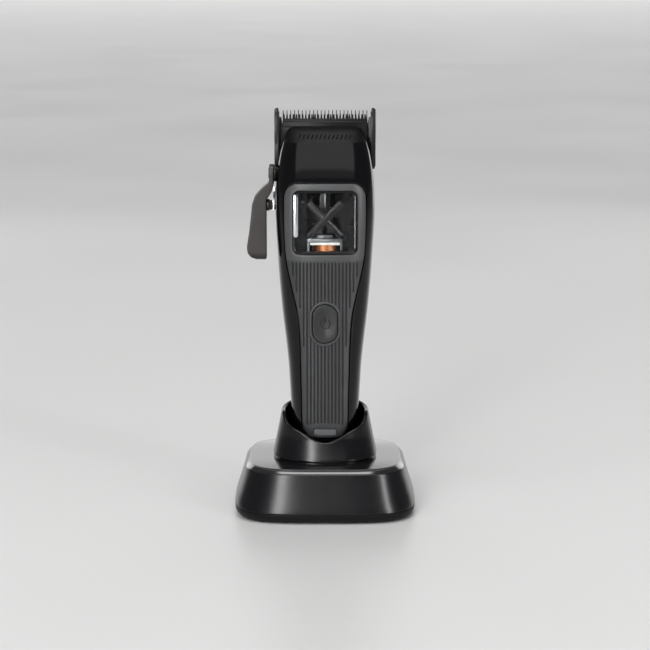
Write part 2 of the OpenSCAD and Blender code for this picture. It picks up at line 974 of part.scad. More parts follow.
module taper_lever() {
    color("#222325")
        difference() {
            intersection() {
                facing(-9, 3)
                    polygon(LEVER);
                sideways(-40, -20)
                    polygon([
                        for (a = [0:15:180]) [hub_y + 4.15 * cos(a), hub_z + 4.15 * sin(a)],
                        [hub_y - 4.15, 150], [hub_y - 4.7, 130], [hub_y - 4.5, 121],
                        for (a = [210:20:330]) [hub_y + 4.6 * cos(a), 121 + 4.2 * sin(a)],
                        [hub_y + 4.5, 121], [hub_y + 4.7, 130], [hub_y + 4.15, 150]
                    ]);
            }
            rod_x(hub_y, hub_z, 1.5, -40, 0);
            rod_x(hub_y, hub_z, 2.6, -40, -24.95);
        }
}

module lever_screw() {
    color("#c4c8cc")
        difference() {
            union() {
                rod_x(hub_y, hub_z, 1.2, -25, -19.4);
                rod_x(hub_y, hub_z, 2.4, -25.9, -24.95);
            }
            box([-26, hub_y - 2, hub_z - 0.3], [-25.5, hub_y + 2, hub_z + 0.3]);
        }
}

// The cam shaft's eccentric peg lifts the blade carrier.
module taper_cam() {
    color("#d4d7db")
        difference() {
            union() {
                rod_x(hub_y, hub_z, shaft_r, -23.3, -18);
                rod_x(hub_y + cam_throw, hub_z, 1.6, -18.1, -14.6);
            }
            rod_x(hub_y, hub_z, 1.25, -30, -19.2);
        }
}

module lever_bush() {
    color("#1c1d1f")
        difference() {
            union() {
                rod_x(hub_y, hub_z, bush_r, -22.7, -18.5);
                rod_x(hub_y, hub_z, 4, -23.25, -22.3);
            }
            rod_x(hub_y, hub_z, shaft_r + run, -30, -10);
        }
}

module detent_knob() {
    color("#18191a")
        union() {
            rod_x(hub_y, hub_z - detent_r, 2.75, -26.75, -25.4);
            rod_x(hub_y, hub_z - detent_r, 2.2, -25.5, -24.15);
        }
}

// A toothed arc on the housing's side that the knob clicks over.
module detent_plate() {
    inner_r = detent_r - 2.4;
    outer_r = detent_r + 2.4;
    step = 4;
    arc = [for (a = [-12:step:taper_angle + 12]) a];
    color("#d9d2c0")
        sideways(-24, -22.85)
            translate([hub_y, hub_z])
                polygon(concat(
                    [for (a = arc) each [
                        outer_r * [sin(a), -cos(a)],
                        (outer_r - 0.7) * [sin(a + step / 2), -cos(a + step / 2)]]],
                    [for (i = [len(arc) - 1:-1:0]) inner_r * [sin(arc[i]), -cos(arc[i])]]));
}

// ---------------------------------------------------------------- nodes

dock_shell();
dock_top_plate();
dock_collar();
contact_block();
charge_pins();
pin_springs();
dock_board();
dock_inlet();
dock_ballast();
dock_bottom_cover();
dock_screws();
dock_feet();
front_shell();
rear_shell();
grip_panel();
window_bezel();
window_lens();
power_button();
button_gasket();
switch_plunger();
tact_switch();
status_light();
main_board();
board_chips();
battery_cell();
battery_cradle();
battery_tabs();
end_cap();
contact_pads();
housing_screws();
motor_frame();
motor_brace();
motor_screws();
coil_winding();
coil_bobbin();
stator_core();
stator_yoke();
pivot_pin();
drive_arm();
arm_magnets();
drive_tip();
cutter_yoke();
cutter_blade();
comb_blade();
blade_carrier();
blade_screws();
tension_springs();
taper_lever();
lever_screw();
taper_cam();
lever_bush();
detent_knob();
detent_plate();
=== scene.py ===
"""Hair clipper standing in its charging dock: the looks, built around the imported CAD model.

Shapes are worked out in millimetres, in the same frame as the CAD, and become metres when a
mesh is made. +Z is up and -Y is the front, where the button and the window are.
"""

import json
import math

import bmesh
import bpy
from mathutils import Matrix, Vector
from mathutils.geometry import delaunay_2d_cdt

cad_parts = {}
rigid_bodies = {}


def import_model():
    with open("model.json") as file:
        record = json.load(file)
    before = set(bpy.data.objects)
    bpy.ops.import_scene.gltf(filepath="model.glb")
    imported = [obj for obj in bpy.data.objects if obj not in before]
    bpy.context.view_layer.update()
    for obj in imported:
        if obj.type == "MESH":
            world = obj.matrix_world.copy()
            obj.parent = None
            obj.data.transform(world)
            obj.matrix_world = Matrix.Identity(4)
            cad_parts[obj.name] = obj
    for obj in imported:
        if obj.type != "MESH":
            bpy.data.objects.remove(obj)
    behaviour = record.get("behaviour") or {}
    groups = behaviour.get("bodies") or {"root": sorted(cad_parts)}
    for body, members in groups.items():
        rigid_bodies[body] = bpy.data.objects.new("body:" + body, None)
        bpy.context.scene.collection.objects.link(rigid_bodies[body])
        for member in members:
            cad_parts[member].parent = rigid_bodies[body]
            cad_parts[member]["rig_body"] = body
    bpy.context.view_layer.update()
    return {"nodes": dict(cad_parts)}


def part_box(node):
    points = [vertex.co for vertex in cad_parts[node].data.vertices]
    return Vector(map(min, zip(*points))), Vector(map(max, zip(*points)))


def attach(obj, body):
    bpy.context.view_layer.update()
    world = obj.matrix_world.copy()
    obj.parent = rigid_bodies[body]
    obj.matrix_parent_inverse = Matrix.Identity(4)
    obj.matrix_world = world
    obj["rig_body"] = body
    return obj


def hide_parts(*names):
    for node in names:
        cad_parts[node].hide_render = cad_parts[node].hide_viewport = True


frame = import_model()
MM = 0.001


def node_mm(node):
    """A CAD node's lowest and highest corner, in millimetres."""
    low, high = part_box(node)
    return low / MM, high / MM


# ---------------------------------------------------------------- the object's sizes

# Handle sections: height, half width, depth to the front, depth to the rear. The first list
# ends at the head's crease, where the lid begins.
HANDLE = [
    [32, 8, 10.5, 10], [33, 9.7, 12.6, 11.6], [34.6, 11.3, 13.9, 12.7], [37, 12.8, 14.8, 13.6],
    [40, 14.1, 15.5, 14.3], [45, 15.5, 16.1, 14.8], [56, 16.2, 16.4, 15.2],
    [68, 16.9, 16.6, 15.5], [80, 18.1, 16.9, 15.9], [90, 19.3, 17.2, 16.3],
    [101, 20.4, 17.7, 17], [112, 21.3, 18.3, 17.8], [122, 21.9, 18.8, 18.4],
    [132, 22.5, 19, 18.7], [141, 22.8, 18.9, 18.2], [148, 22.7, 18.5, 16.2],
    [154, 22.3, 17.7, 13.4], [159, 21.8, 16.4, 11.2], [166, 20.7, 14, 9], [171.6, 19.3, 12, 8],
]
LID = [[171.6, 19.3, 12, 8], [175.6, 17.6, 8.4, 7], [177.4, 16, 6, 5.6], [178.1, 13.8, 3.6, 3.6]]
CREASE_Z = HANDLE[-1][0]
END_Z = HANDLE[0][0]
HEAD_Z = LID[-1][0]
WALL = 2.6
RECESS = 1.5
PARTING = 0.04

# Half outline of the grip panel, from its top down: half width, height.
PANEL = [
    [11.6, 153.7], [14.3, 153.3], [16.5, 152], [17.9, 149.8], [18.5, 147], [18.6, 137],
    [18.2, 125], [17.5, 118], [15.7, 109], [13.9, 101], [12.6, 95], [11.8, 88.5], [11.3, 81],
    [11, 68], [10.7, 56], [10.5, 44], [10, 40], [8.4, 37], [6, 35.4],
]
RIB_PITCH = 1.62
RIB_TOP = 117.8
PANEL_MARGIN = 1.5

# Dock wall: height, how far it stands in from the widest line.
DOCK_PROFILE = [
    [0.6, -2], [1.4, -1], [2.8, -0.2], [4.8, 0], [7, -0.5], [12, -2.1], [18, -3.9], [22.2, -5],
]
DOCK_N = 4
COLLAR_N = 2.4
COLLAR_WALL = 1.8

# Taper lever, from the front: from the hub, out, and down round the thumb pad.
LEVER = [
    [-23.35, 161.2], [-25.6, 161.2], [-25.6, 153.2], [-28.9, 150.6], [-32, 147], [-33.4, 142.8],
    [-34.1, 135.8], [-34.9, 129.3], [-35.9, 123.4], [-35.5, 120.4], [-33.9, 118.3],
    [-31.1, 117.2], [-27.2, 117.2], [-26.8, 117.8], [-26.8, 145.4], [-26, 146],
    [-24.3, 148.9], [-23.35, 152.4],
]

bezel_low, bezel_high = node_mm("window_bezel")
WINDOW_MID = (bezel_low + bezel_high) / 2
WINDOW_SIZE = (bezel_high.x - bezel_low.x + 0.3, bezel_high.z - bezel_low.z + 0.3)
button_low, button_high = node_mm("power_button")
BUTTON_MID = (button_low + button_high) / 2
BUTTON_SIZE = (button_high.x - button_low.x, button_high.z - button_low.z)
light_low, light_high = node_mm("status_light")
LIGHT_MID = (light_low + light_high) / 2
LIGHT_SIZE = (light_high.x - light_low.x, light_high.z - light_low.z)
plate_low, plate_high = node_mm("dock_top_plate")
DECK_Z = plate_high.z
dock_high = node_mm("dock_shell")[1]
DOCK_HALF = (dock_high.x, dock_high.y)


# ---------------------------------------------------------------- curves

def smooth(t):
    t = max(0.0, min(1.0, t))
    return t * t * (3 - 2 * t)


def curve(table, z):
    """A smooth curve through a table's rows that never overshoots them."""
    z = max(table[0][0], min(table[-1][0], z))
    k = next(i for i in range(len(table) - 1) if z <= table[i + 1][0])
    step = table[k + 1][0] - table[k][0]
    t = (z - table[k][0]) / step

    def slope(i, column):
        """The rise of one column between rows i and i + 1."""
        i = max(0, min(len(table) - 2, i))
        return (table[i + 1][column] - table[i][column]) / (table[i + 1][0] - table[i][0])

    def tangent(i, column):
        before, after = slope(i - 1, column), slope(i, column)
        if before * after <= 0:
            return 0.0
        return 2 * before * after / (before + after)

    values = []
    for column in range(1, len(table[0])):
        a, b = table[k][column], table[k + 1][column]
        ta, tb = tangent(k, column) * step, tangent(k + 1, column) * step
        values.append(
            a * (1 + 2 * t) * (1 - t) ** 2 + ta * t * (1 - t) ** 2
            + b * t * t * (3 - 2 * t) + tb * t * t * (t - 1))
    return values


def handle_row(z):
    return curve(LID if z > CREASE_Z else HANDLE, z)


def handle_n(z):
    """Roundness of a handle section: the head is squarer than the grip."""
    return 3 + 0.5 * smooth((z - 105) / 40)


def radius(c, s, half, depth, n):
    """How far a superellipse reaches in the direction (c, s)."""
    return ((abs(c) / half) ** n + (abs(s) / depth) ** n) ** (-1 / n)


def front(x, z):
    """Y of the handle's front surface."""
    w, f, _ = handle_row(z)
    n = handle_n(z)
    return -f * max(0.0, 1 - (abs(x) / w) ** n) ** (1 / n)


def resample(points, count):
    """Evenly spaced points on a smooth closed curve through the given ones."""
    fine = []
    n = len(points)
    for i in range(n):
        p = [Vector(points[(i + k) % n]) for k in (-1, 0, 1, 2)]
        for j in range(12):
            t = j / 12
            fine.append(0.5 * (2 * p[1] + (p[2] - p[0]) * t
                               + (2 * p[0] - 5 * p[1] + 4 * p[2] - p[3]) * t * t
                               + (3 * p[1] - p[0] - 3 * p[2] + p[3]) * t ** 3))
    return even(fine, count)


def even(points, count):
    """Evenly spaced points along a closed line."""
    lengths = [0.0]
    for a, b in zip(points, points[1:] + points[:1]):
        lengths.append(lengths[-1] + (Vector(b) - Vector(a)).length)
    result, k = [], 0
    for i in range(count):
        want = lengths[-1] * i / count
        while lengths[k + 1] < want:
            k += 1
        t = (want - lengths[k]) / (lengths[k + 1] - lengths[k])
        result.append(Vector(points[k]).lerp(Vector(points[(k + 1) % len(points)]), t))
    return result


def area(outline):
    return sum(a.x * b.y - b.x * a.y for a, b in zip(outline, outline[1:] + outline[:1])) / 2


def grow(outline, distance):
    """The outline moved outwards, or inwards when distance is negative."""
    side = 1 if area(outline) > 0 else -1
    n = len(outline)
    moved = []
    for i in range(n):
        along = (outline[(i + 1) % n] - outline[i - 1]).normalized()
        moved.append(outline[i] + side * distance * Vector((along.y, -along.x)))
    return moved


def rounded_rect(size, r, middle=(0, 0), count=96):
    """An outline with round corners about a middle point, in x and z."""
    corners = []
    for c in range(4):
        sx, sz = (1, -1, -1, 1)[c], (1, 1, -1, -1)[c]
        for i in range(13):
            a = math.radians(90 * c + 7.5 * i)
            corners.append(Vector((middle[0] + sx * (size[0] / 2 - r) + r * math.cos(a),
                                   middle[1] + sz * (size[1] / 2 - r) + r * math.sin(a))))
    return even(corners, count)


PANEL_LINE = resample(PANEL + [[-x, z] for x, z in reversed(PANEL)], 300)
WINDOW_LINE = rounded_rect(WINDOW_SIZE, 3, (0, WINDOW_MID.z), 120)
BUTTON_LINE = rounded_rect(BUTTON_SIZE, BUTTON_SIZE[0] / 2 - 0.02, (0, BUTTON_MID.z))
LIGHT_LINE = rounded_rect(LIGHT_SIZE, 0.85, (0, LIGHT_MID.z), 64)


def panel_half(z):
    """Half width of the grip panel."""
    return curve([[p[1], p[0]] for p in reversed(PANEL)], z)[0]


# ---------------------------------------------------------------- meshes

def solid(name, points, faces):
    """A new mesh object from points in millimetres, with its faces turned outwards."""
    mesh = bpy.data.meshes.new(name)
    bm = bmesh.new()
    verts = [bm.verts.new(Vector(p) * MM) for p in points]
    for face in faces:
        bm.faces.new([verts[i] for i in face])
    bmesh.ops.remove_doubles(bm, verts=bm.verts, dist=1e-7)
    bmesh.ops.dissolve_degenerate(bm, edges=bm.edges, dist=1e-7)
    bmesh.ops.recalc_face_normals(bm, faces=bm.faces)
    bm.to_mesh(mesh)
    bm.free()
    obj = bpy.data.objects.new(name, mesh)
    bpy.context.scene.collection.objects.link(obj)
    return obj


def bands(rings, count, closed_ring=True, closed_path=False):
    """Four-sided faces between rings of count points each."""
    faces = []
    for j in range(rings if closed_path else rings - 1):
        below, above = j * count, (j + 1) % rings * count
        for i in range(count if closed_ring else count - 1):
            k = (i + 1) % count
            faces.append([below + i, below + k, above + k, above + i])
    return faces


def loft(name, rings, closed_path=False):
    """A solid through closed rings. Its ends are filled, unless the path closes on itself."""
    n = len(rings[0])
    faces = bands(len(rings), n, closed_path=closed_path)
    if not closed_path:
        faces.append(list(range(n - 1, -1, -1)))
        faces.append(list(range(n * (len(rings) - 1), n * len(rings))))
    return solid(name, [p for ring in rings for p in ring], faces)


def fill(outline, spacing):
    """Points and triangles inside a flat outline, with grid points between its own."""
    zs = [p.y for p in outline]
    inside = []
    z = min(zs) + spacing / 2
    while z < max(zs):
        crossings = sorted(
            a.x + (z - a.y) / (b.y - a.y) * (b.x - a.x)
            for a, b in zip(outline, outline[1:] + outline[:1]) if (a.y > z) != (b.y > z))
        for low, high in zip(crossings[::2], crossings[1::2]):
            steps = max(1, round((high - low) / spacing))
            inside += [Vector((low + (high - low) * i / steps, z)) for i in range(1, steps)]
        z += spacing
    far = [p for p in inside if min((p - q).length_squared for q in outline) > spacing ** 2 / 4]
    n = len(outline)
    made = delaunay_2d_cdt(outline + far, [(i, (i + 1) % n) for i in range(n)], [], 1, 1e-7)
    return made[0], made[2]


def stack(name, layers, surface, crown=None, spacing=2.0):
    """A solid through outlines in x and z. Each layer stands some way in front of a surface,
    y = surface(x, z), and crown(x, z) raises the last one inside its outline. The crown has to
    be zero on that outline, or the front face isn't joined to the side."""
    points = [(p.x, surface(p.x, p.y) - h, p.y) for line, h in layers for p in line]
    faces = bands(len(layers), len(layers[0][0]))
    for (line, h), top in ((layers[0], False), (layers[-1], True)):
        flat, triangles = fill(line, spacing)
        start = len(points)
        for p in flat:
            extra = crown(p.x, p.y) if crown and top else 0
            points.append((p.x, surface(p.x, p.y) - h - extra, p.y))
        faces += [[start + i for i in t] for t in triangles]
    return solid(name, points, faces)


def prism(name, outline, y0, y1):
    """An outline in x and z, made solid between two depths."""
    return loft(name, [[(p[0], y, p[1]) for p in outline] for y in (y0, y1)])


def tube(name, path, r, sides=10, round_ends=True):
    """A rod of round section along a path."""
    ends = [0.35, 0.75, 0.95] if round_ends else []
    radii = [r * e for e in ends] + [r] * (len(path) - 2 * len(ends)) + [r * e for e in ends[::-1]]
    rings = []
    for i, p in enumerate(path):
        along = (Vector(path[min(i + 1, len(path) - 1)]) - Vector(path[max(i - 1, 0)])).normalized()
        side = along.orthogonal().normalized()
        if i:
            side = (last - along * last.dot(along)).normalized()
        last = side
        up = along.cross(side)
        rings.append([Vector(p) + radii[i] * (side * math.cos(a) + up * math.sin(a))
                      for a in (2 * math.pi * k / sides for k in range(sides))])
    return loft(name, rings)


def joined(objects):
    """Several objects made into one mesh."""
    bm = bmesh.new()
    for o in objects:
        bm.from_mesh(o.data)
    bm.to_mesh(objects[0].data)
    bm.free()
    for o in objects[1:]:
        bpy.data.objects.remove(o)
    return objects[0]


def apply(obj):
    """Makes an object's modifiers part of its mesh."""
    graph = bpy.context.evaluated_depsgraph_get()
    mesh = bpy.data.meshes.new_from_object(obj.evaluated_get(graph))
    obj.modifiers.clear()
    obj.data = mesh
    return obj


def combine(obj, others, operation="DIFFERENCE"):
    """Cuts other solids from obj, or adds them to it, and removes them."""
    for other in others:
        step = obj.modifiers.new(operation, "BOOLEAN")
        step.operation = operation
        step.object = other
        step.solver = "MANIFOLD"
    apply(obj)
    for other in others:
        bpy.data.objects.remove(other)
    return obj


def cut_off(obj, z, name):
    """Takes what is above a height away from obj, and makes it a piece of its own."""
    top = obj.copy()
    top.data = obj.data.copy()
    top.name = name
    bpy.context.scene.collection.objects.link(top)
    square = [(-99, z), (99, z), (99, z + 99), (-99, z + 99)]
    combine(top, [prism("above", square, -99, 99)], "INTERSECT")
    combine(obj, [prism("above", square, -99, 99)])
    return top


def bevel(obj, width, segments=2, angle=32):
    step = obj.modifiers.new("bevel", "BEVEL")
    step.width = width * MM
    step.segments = segments
    step.limit_method = "ANGLE"
    step.angle_limit = math.radians(angle)
    return apply(obj)


def soften(obj, voxel, rounds):
    """Rounds every edge: the solid is rebuilt from small cells and relaxed."""
    cells = obj.modifiers.new("cells", "REMESH")
    cells.mode = "VOXEL"
    cells.voxel_size = voxel * MM
    relax = obj.modifiers.new("relax", "SMOOTH")
    relax.factor = 0.5
    relax.iterations = rounds
    return apply(obj)


def place(obj, body, material, replaces=(), angle=35):
    """Shades a piece, gives it its material, and joins it to the CAD body that it moves with."""
    obj.data.shade_smooth()
    obj.data.set_sharp_from_angle(angle=math.radians(angle))
    obj.data.materials.clear()
    obj.data.materials.append(MATERIALS[material])
    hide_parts(*replaces)
    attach(obj, body)
    return obj


def refine(node, width, material=None, segments=2):
    """A copy of a CAD node with its sharp edges broken, in the CAD node's place."""
    source = frame["nodes"][node]
    bm = bmesh.new()
    bm.from_mesh(source.data)
    bmesh.ops.remove_doubles(bm, verts=bm.verts, dist=1e-6)
    bmesh.ops.dissolve_limit(bm, angle_limit=math.radians(0.5), verts=bm.verts, edges=bm.edges,
                             delimit={"NORMAL"})
    mesh = bpy.data.meshes.new("fine_" + node)
    bm.to_mesh(mesh)
    bm.free()
    obj = bpy.data.objects.new("fine_" + node, mesh)
    bpy.context.scene.collection.objects.link(obj)
    bevel(obj, width, segments)
    return place(obj, source["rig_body"], material or source.data.materials[0].name, [node])


# ---------------------------------------------------------------- materials

def surface_material(name, color, rough, metal=0.0, coat=0.0, grain=1200.0, relief=0.01,
                     shift=0.15, spread=0.03, stretch=(1, 1, 1), sheen=0.0, specular=0.5):
    """A moulded, painted or machined surface. Its tone drifts by shift over a few millimetres,
    its roughness by spread, and relief is the height of its grain, in millimetres."""
    material = bpy.data.materials.new(name)
    material.use_nodes = True
    nodes, links = material.node_tree.nodes, material.node_tree.links
    shader = nodes["Principled BSDF"]
    shader.inputs["Metallic"].default_value = metal
    shader.inputs["Specular IOR Level"].default_value = specular
    shader.inputs["Coat Weight"].default_value = coat
    shader.inputs["Coat Roughness"].default_value = 0.04
    shader.inputs["Sheen Weight"].default_value = sheen
    place_at = nodes.new("ShaderNodeTexCoord")
    mapping = nodes.new("ShaderNodeMapping")
    mapping.inputs["Scale"].default_value = stretch
    links.new(place_at.outputs["Object"], mapping.inputs["Vector"])

    def noise(scale, detail):
        node = nodes.new("ShaderNodeTexNoise")
        node.inputs["Scale"].default_value = scale
        node.inputs["Detail"].default_value = detail
        links.new(mapping.outputs["Vector"], node.inputs["Vector"])
        return node.outputs["Fac"]

    cloud, fine = noise(grain * 0.06, 5), noise(grain, 3)
    tone = nodes.new("ShaderNodeValToRGB")
    for stop, level, at in zip(tone.color_ramp.elements, (1 - shift, 1 + shift), (0.3, 0.7)):
        stop.position = at
        stop.color = (*(min(1, c * level) for c in color), 1)
    links.new(cloud, tone.inputs["Fac"])
    links.new(tone.outputs["Color"], shader.inputs["Base Color"])
    span = nodes.new("ShaderNodeMapRange")
    span.inputs["From Min"].default_value = 0.3
    span.inputs["From Max"].default_value = 0.7
    span.inputs["To Min"].default_value = max(0.02, rough - spread)
    span.inputs["To Max"].default_value = rough + spread
    links.new(cloud, span.inputs["Value"])
    links.new(span.outputs["Result"], shader.inputs["Roughness"])
    bump = nodes.new("ShaderNodeBump")
    bump.inputs["Strength"].default_value = 1
    bump.inputs["Distance"].default_value = relief * MM
    links.new(fine, bump.inputs["Height"])
    links.new(bump.outputs["Normal"], shader.inputs["Normal"])
    return material


def lens_material(name):
    """Clear plastic that lets the lamps through to what is behind it."""
    material = surface_material(name, (0.95, 0.97, 0.98), 0.02, grain=300, relief=0.0004,
                                shift=0.01, spread=0.01)
    nodes, links = material.node_tree.nodes, material.node_tree.links
    shader = nodes["Principled BSDF"]
    shader.inputs["Transmission Weight"].default_value = 1
    shader.inputs["IOR"].default_value = 1.16
    ray = nodes.new("ShaderNodeLightPath")
    through = nodes.new("ShaderNodeBsdfTransparent")
    mix = nodes.new("ShaderNodeMixShader")
    links.new(ray.outputs["Is Shadow Ray"], mix.inputs["Fac"])
    links.new(shader.outputs["BSDF"], mix.inputs[1])
    links.new(through.outputs["BSDF"], mix.inputs[2])
    links.new(mix.outputs["Shader"], nodes["Material Output"].inputs["Surface"])
    return material


BRUSHED = (1, 1, 0.06)
MATERIALS = {
    "gloss_black": surface_material("gloss_black", (0.005, 0.005, 0.006), 0.1, grain=260,
                                    relief=0.0005, spread=0.02, specular=0.33),
    "grip_matte": surface_material("grip_matte", (0.040, 0.041, 0.043), 0.42, grain=2600,
                                   relief=0.012, shift=0.08),
    "button_matte": surface_material("button_matte", (0.017, 0.0175, 0.018), 0.4, grain=3000,
                                     relief=0.01, shift=0.08),
    "clear_lens": lens_material("clear_lens"),
    "light_guide": surface_material("light_guide", (0.105, 0.107, 0.11), 0.36, grain=1500,
                                    relief=0.005, shift=0.06),
    "dock_satin": surface_material("dock_satin", (0.005, 0.005, 0.006), 0.25, grain=3200,
                                   relief=0.002, shift=0.1, spread=0.012),
    "dock_plate": surface_material("dock_plate", (0.007, 0.007, 0.008), 0.16, grain=2600,
                                   relief=0.0012, spread=0.01, specular=0.85),
    "rim_polish": surface_material("rim_polish", (0.012, 0.012, 0.013), 0.14, grain=2600,
                                   relief=0.001, spread=0.01, specular=1.0),
    # A slightly smoother copy of the grip's matte with a lighter colour: the lighter colour is painted
    # sheen for the window frame.
    "frame_satin_painted_sheen": surface_material("frame_satin_painted_sheen", (0.062, 0.063, 0.065), 0.38, grain=2600,
                                    relief=0.008, shift=0.08),
    "base_matte": surface_material("base_matte", (0.0025, 0.0025, 0.003), 0.5, grain=2800,
                                   relief=0.005, spread=0.03, specular=0.22),
    "foot_rubber": surface_material("foot_rubber", (0.02, 0.02, 0.021), 0.8, grain=2000,
                                    relief=0.03),
    "dark_plastic": surface_material("dark_plastic", (0.004, 0.004, 0.005), 0.26, grain=2600,
                                     relief=0.002, specular=0.3),
    "motor_black": surface_material("motor_black", (0.003, 0.003, 0.0035), 0.26, grain=3000,
                                    relief=0.0003, specular=0.22),
    "pale_plastic": surface_material("pale_plastic", (0.62, 0.61, 0.57), 0.4, grain=1500,
                                     relief=0.01, shift=0.05),
    "lever_satin": surface_material("lever_satin", (0.031, 0.027, 0.025), 0.34, grain=2600,
                                    relief=0.006),
    "graphite_steel": surface_material("graphite_steel", (0.034, 0.033, 0.033), 0.36, metal=0.85,
                                       grain=2200, relief=0.0015, stretch=(0.05, 1, 1)),
    "blade_black": surface_material("blade_black", (0.016, 0.016, 0.016), 0.38, metal=0.85,
                                    grain=2200, relief=0.0015, stretch=(0.05, 1, 1)),
    "bright_steel": surface_material("bright_steel", (0.62, 0.63, 0.65), 0.22, metal=1.0,
                                     grain=2600, relief=0.003, shift=0.08, stretch=BRUSHED),
    "plated_steel": surface_material("plated_steel", (0.15, 0.153, 0.158), 0.36, metal=1.0,
                                     grain=1800, relief=0.002, shift=0.1),
    "spring_steel": surface_material("spring_steel", (0.45, 0.46, 0.48), 0.26, metal=1.0,
                                     grain=3000, relief=0.003, stretch=BRUSHED),
    "arm_alloy": surface_material("arm_alloy", (0.52, 0.53, 0.55), 0.38, metal=1.0,
                                  grain=1600, relief=0.008, shift=0.08),
    "copper_wire": surface_material("copper_wire", (0.55, 0.24, 0.11), 0.44, metal=1.0,
                                    grain=1400, relief=0.004, shift=0.12),
    "gold_contact": surface_material("gold_contact", (0.83, 0.58, 0.24), 0.2, metal=1.0,
                                     grain=1500, relief=0.002, shift=0.06),
    "circuit_board": surface_material("circuit_board", (0.02, 0.12, 0.05), 0.35, grain=1500,
                                      relief=0.012, shift=0.25),
    "battery_wrap": surface_material("battery_wrap", (0.03, 0.12, 0.36), 0.3, grain=500,
                                     relief=0.01, shift=0.1, coat=0.3),
}


# ---------------------------------------------------------------- handle

def span(low, high, step):
    """Heights from low to high in equal steps of about step, or in one step when high is the
    lower of the two."""
    count = max(1, round((high - low) / step))
    return [low + (high - low) * i / count for i in range(count + 1)]


def handle_arc(z, side, inset):
    """Half a section of the handle, to the front (side -1) or the rear (side 1), with its ends
    rounded in at the parting line."""
    w, f, r = (v - inset for v in handle_row(z))
    depth = f if side < 0 else r
    n = handle_n(z)
    edge = 0.22
    angles = [0.0, 0.2, 0.45, 0.7, 1.1, 1.8] + span(3, 177, 2.4)
    angles += [178.2, 178.9, 179.3, 179.55, 179.8, 180]
    arc = []
    for degrees in angles:
        a = math.radians(degrees)
        c, s = math.cos(a), math.sin(a)
        q = radius(c, s, w, depth, n)
        y = max(PARTING, q * s)
        turn = max(0.0, 1 - (y - PARTING) / edge)
        x = q * c
        if inset == 0:
            x -= math.copysign(edge * (1 - math.sqrt(max(0.0, 1 - turn * turn))), c)
        arc.append((x, side * y, z))
    return arc


def end_arc(z, side, count):
    """Half of the opening in the handle's end, with as many points as a section's half."""
    arc = []
    for i in range(count):
        a = math.pi * i / (count - 1)
        q = radius(math.cos(a), math.sin(a), 6.4, 8.2, 3)
        arc.append((q * math.cos(a), side * max(PARTING, q * math.sin(a)), z))
    return arc


def shrunk(arc, share, z):
    return [(x * share, y if abs(y) <= PARTING else y * share, z) for x, y, _ in arc]


def half_shell(name, side, outer_z, inner_z, close_top):
    """One half of the housing, open at the parting plane. Its cavity runs straight between the
    sections at the inner heights, so with few of them the wall is thicker than WALL."""
    outer = [handle_arc(z, side, 0) for z in outer_z]
    inner = [handle_arc(z, side, WALL) for z in inner_z]
    count = len(outer[0])
    path = [end_arc(END_Z, side, count)] + outer
    if close_top:
        path.append(shrunk(outer[-1], 0.05, outer_z[-1]))
        path.append(shrunk(inner[0], 0.05, inner_z[0]))
    path += inner + [end_arc(END_Z + WALL, side, count)]
    faces = bands(len(path), count, closed_ring=False, closed_path=True)
    faces.append([j * count for j in range(len(path))])
    faces.append([j * count + count - 1 for j in reversed(range(len(path)))])
    return solid(name, [p for arc in path for p in arc], faces)


FOOT_Z = [32, 32.3, 32.6, 33, 33.5, 34, 34.6, 35.4, 36.2, 37, 38, 39, 40, 41.5, 43]
SCREWS = [(-9, 40.2), (9, 40.2), (-16.6, 130), (16.6, 130)]
HUB_Y = -3
HUB_Z = node_mm("lever_bush")[0].z + 4


def rod_y(name, x, z, r, y0, y1, sides=48):
    circle = [Vector((x + r * math.cos(a), z + r * math.sin(a)))
              for a in (2 * math.pi * i / sides for i in range(sides))]
    return prism(name, circle, y0, y1)


def rod_x(name, y, z, r, x0, x1, sides=48):
    rings = [[(x, y + r * math.cos(a), z + r * math.sin(a))
              for a in (2 * math.pi * i / sides for i in range(sides))] for x in (x0, x1)]
    return loft(name, rings)


def pocket(name, outline, floor, gap, lip, through=False):
    """A cutter for a recess in the handle's front, whose rim is rounded over by lip."""
    layers = [(grow(outline, gap), -floor)]
    layers += [(grow(outline, gap + lip * a), lip * b)
               for a, b in ((0, -1.1), (0.12, -0.55), (0.4, -0.16), (1, 0.06), (1, 6))]
    if not through:
        return stack(name, layers, front, spacing=3)
    rings = [[(p.x, -4, p.y) for p in layers[0][0]]]
    rings += [[(p.x, front(p.x, p.y) - h, p.y) for p in line] for line, h in layers[1:-1]]
    rings.append([(p.x, -30, p.y) for p in layers[-1][0]])
    return loft(name, rings)


def make_front_shell():
    outer_z = FOOT_Z + span(45, CREASE_Z - 0.6, 1.8) + [171.25, 171.45, 171.6, 171.75, 171.95]
    outer_z += span(172.4, 177.4, 0.7) + [177.7, 177.95, HEAD_Z]
    shell = half_shell("front_housing", -1, outer_z, span(175.4, END_Z + WALL, 4), True)
    cutters = [pocket("panel_pocket", PANEL_LINE, RECESS, 0.3, 0.55)]
    cutters += [prism("opening", grow(line, g), -30, -5) for line, g in
                ((WINDOW_LINE, 0), (BUTTON_LINE, 0.3), (LIGHT_LINE, 0.15))]
    cutters.append(rod_x("bush_hole", HUB_Y, HUB_Z, 3.45, -30, -15))
    combine(shell, cutters)
    lid = cut_off(shell, CREASE_Z, "head_lid")
    combine(lid, lid_slots())
    place(shell, "clipper", "gloss_black", ["front_shell"], angle=28)
    place(lid, "clipper", "base_matte", ["front_shell"], angle=28)


def lid_slots():
    """Small cooling slots in a row along the lid, above the crease."""
    cutters = []
    for k in range(-6, 7):
        x = 1.9 * k
        path = []
        for i in range(9):
            z = 173.1 + 2.2 * i / 8
            path.append((x + 0.12 * (i - 4), front(x, z) - 0.12, z))
        cutters.append(tube("slot", path, 0.42))
    return [joined(cutters)]


